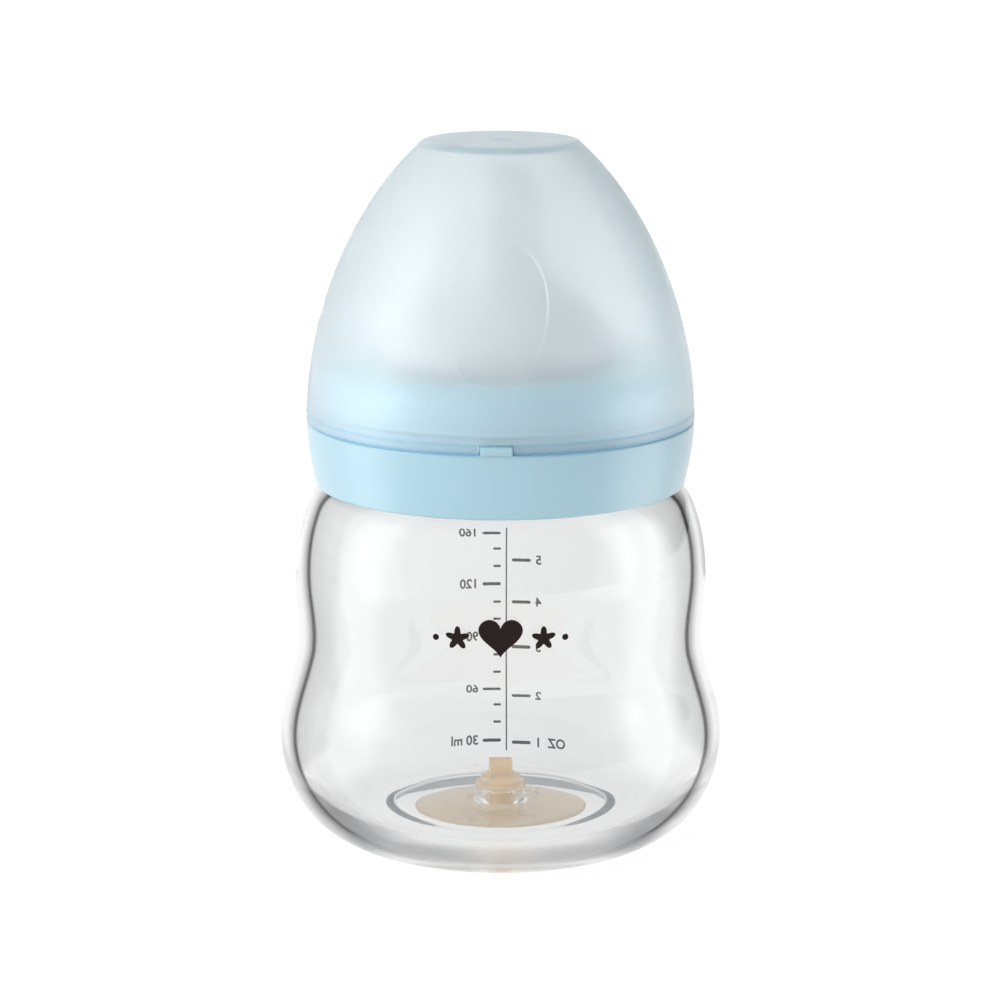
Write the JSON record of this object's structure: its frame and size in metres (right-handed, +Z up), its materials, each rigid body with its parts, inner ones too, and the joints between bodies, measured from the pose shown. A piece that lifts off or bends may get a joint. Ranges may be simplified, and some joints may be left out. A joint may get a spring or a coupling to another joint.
{
  "type": "baby bottle",
  "caption": "Wide-neck waisted glass baby bottle with a soft nipple, screw collar, press-on frosted dust cap and a vent valve in the base.",
  "frame": {"origin": "centre of the base, on the surface that the bottle stands on", "axes": "+Z up along the bottle's axis, -Y the front with the cap's thumb dish and rim notch, +X to the right seen from the front"},
  "size_m": [0.0775, 0.0774, 0.1227],
  "materials": {
    "glass": "clear polished borosilicate glass",
    "peach_silicone": "translucent peach silicone, satin",
    "clear_silicone": "milky clear silicone, satin",
    "blue_plastic": "pale blue moulded polypropylene, semi-gloss",
    "frosted_plastic": "frosted translucent polypropylene",
    "grey_ink": "fired grey ceramic ink, satin",
    "dark_ink": "fired dark brown ceramic ink, satin"
  },
  "bodies": {
    "bottle": {"glass_body": "glass", "vent_valve": "peach_silicone"},
    "nipple": {"nipple": "clear_silicone"},
    "collar": {"collar": "blue_plastic"},
    "cap": {"dust_cap": "frosted_plastic"}
  },
  "joints": [
    {"name": "nipple_rise", "type": "slide", "parent": "bottle", "child": "nipple", "axis": [0, 0, 1], "range_m": [0, 0.0091]},
    {"name": "collar_turn", "type": "hinge", "parent": "nipple", "child": "collar", "pos_m": [0, 0, 0.075], "axis": [0, 0, 1], "range_deg": [0, 720]},
    {"name": "cap_lift", "type": "slide", "parent": "collar", "child": "cap", "axis": [0, 0, 1], "range_m": [0, 0.055]}
  ],
  "couplings": [
    {"joint": "nipple_rise", "follows": "collar_turn", "m_per_rad": 0.0007162}
  ]
}
